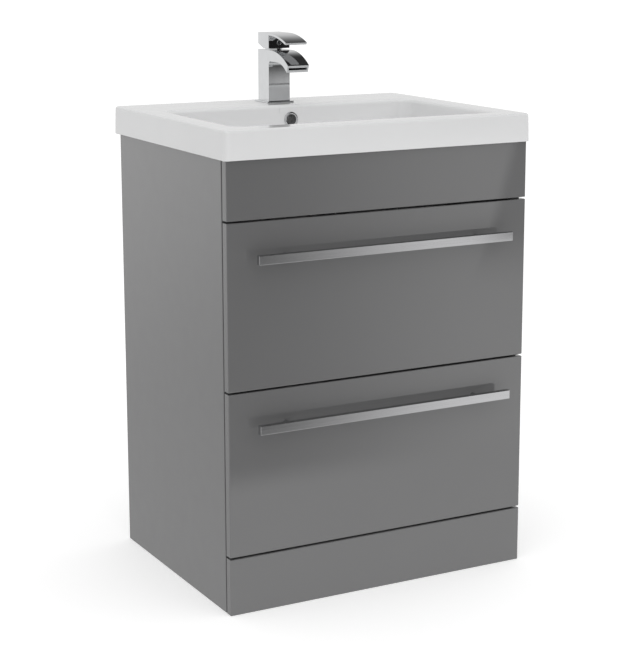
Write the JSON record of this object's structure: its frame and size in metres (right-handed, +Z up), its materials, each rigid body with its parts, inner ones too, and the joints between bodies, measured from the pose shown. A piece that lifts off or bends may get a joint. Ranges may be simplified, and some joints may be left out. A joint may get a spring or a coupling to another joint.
{
  "type": "bathroom vanity cabinet",
  "caption": "Floor-standing gloss grey vanity with drawers on bar handles, an inset ceramic basin and a square waterfall mixer tap.",
  "frame": {"origin": "middle of the overall footprint, on the floor", "axes": "+X to the user's right when facing the fronts, +Y towards the wall, +Z up"},
  "size_m": [0.61, 0.51, 0.977],
  "materials": {
    "grey_lacquer": "gloss",
    "carcass_board": "satin",
    "ceramic": "gloss",
    "chrome": "polished",
    "satin_steel": "satin",
    "zinc_steel": "satin",
    "white_plastic": "gloss",
    "dark_plastic": "matte",
    "clear_bumper": "satin",
    "black_rubber": "matte",
    "brass": "satin"
  },
  "bodies": {
    "carcass": {"side_panel_left": "grey_lacquer", "side_panel_right": "grey_lacquer", "base_panel": "carcass_board", "front_rail": "carcass_board", "rear_top_rail": "carcass_board", "rear_lower_rail": "carcass_board", "fascia_panel": "grey_lacquer", "plinth_panel": "grey_lacquer", "plinth_brackets": "zinc_steel", "wall_brackets": "zinc_steel", "cam_locks": "zinc_steel", "cam_bolts": "zinc_steel", "panel_screws": "zinc_steel", "upper_runner_cabinet_members": "zinc_steel", "lower_runner_cabinet_members": "zinc_steel", "basin": "ceramic", "overflow_ring": "chrome", "waste_body": "chrome", "waste_seal": "black_rubber", "waste_nut": "brass", "trap_nuts": "white_plastic", "trap_body": "white_plastic", "trap_cup": "white_plastic", "trap_outlet_pipe": "white_plastic", "tap_base_plate": "chrome", "tap_body": "chrome", "tap_cartridge": "dark_plastic", "tap_cartridge_nut": "chrome", "tap_stud": "zinc_steel", "tap_washer": "zinc_steel", "tap_nut": "brass"},
    "upper_drawer": {"upper_drawer_front": "grey_lacquer", "upper_drawer_side_left": "carcass_board", "upper_drawer_side_right": "carcass_board", "upper_drawer_base": "carcass_board", "upper_drawer_back": "carcass_board", "upper_handle_bar": "satin_steel", "upper_handle_posts": "satin_steel", "upper_handle_screws": "zinc_steel", "upper_bumpers": "clear_bumper", "upper_runner_drawer_members": "zinc_steel", "upper_trap_surround": "carcass_board"},
    "upper_runner_middle": {"upper_runner_middle_members": "zinc_steel"},
    "lower_drawer": {"lower_drawer_front": "grey_lacquer", "lower_drawer_side_left": "carcass_board", "lower_drawer_side_right": "carcass_board", "lower_drawer_base": "carcass_board", "lower_drawer_back": "carcass_board", "lower_handle_bar": "satin_steel", "lower_handle_posts": "satin_steel", "lower_handle_screws": "zinc_steel", "lower_bumpers": "clear_bumper", "lower_runner_drawer_members": "zinc_steel"},
    "lower_runner_middle": {"lower_runner_middle_members": "zinc_steel"},
    "tap_spindle": {"tap_spindle": "brass"},
    "tap_lever": {"tap_lever": "chrome", "tap_lever_pin": "zinc_steel", "tap_indicator": "dark_plastic"},
    "waste_plug": {"waste_plug": "chrome"}
  },
  "joints": [
    {"name": "upper_drawer_slide", "type": "slide", "parent": "carcass", "child": "upper_drawer", "axis": [0, -1, 0], "range_m": [0, 0.38]},
    {"name": "upper_middle_slide", "type": "slide", "parent": "carcass", "child": "upper_runner_middle", "axis": [0, -1, 0], "range_m": [0, 0.19]},
    {"name": "lower_drawer_slide", "type": "slide", "parent": "carcass", "child": "lower_drawer", "axis": [0, -1, 0], "range_m": [0, 0.38]},
    {"name": "lower_middle_slide", "type": "slide", "parent": "carcass", "child": "lower_runner_middle", "axis": [0, -1, 0], "range_m": [0, 0.19]},
    {"name": "tap_turn", "type": "hinge", "parent": "carcass", "child": "tap_spindle", "pos_m": [0, 0.1905, 0.945], "axis": [0, 0, 1], "range_deg": [-45, 45]},
    {"name": "tap_lift", "type": "hinge", "parent": "tap_spindle", "child": "tap_lever", "pos_m": [0, 0.1905, 0.952], "axis": [-1, 0, 0], "range_deg": [0, 20]},
    {"name": "plug_slide", "type": "slide", "parent": "carcass", "child": "waste_plug", "axis": [0, 0, 1], "range_m": [0, 0.008]}
  ],
  "couplings": [
    {"joint": "upper_middle_slide", "follows": "upper_drawer_slide", "ratio": 0.5},
    {"joint": "lower_middle_slide", "follows": "lower_drawer_slide", "ratio": 0.5}
  ]
}
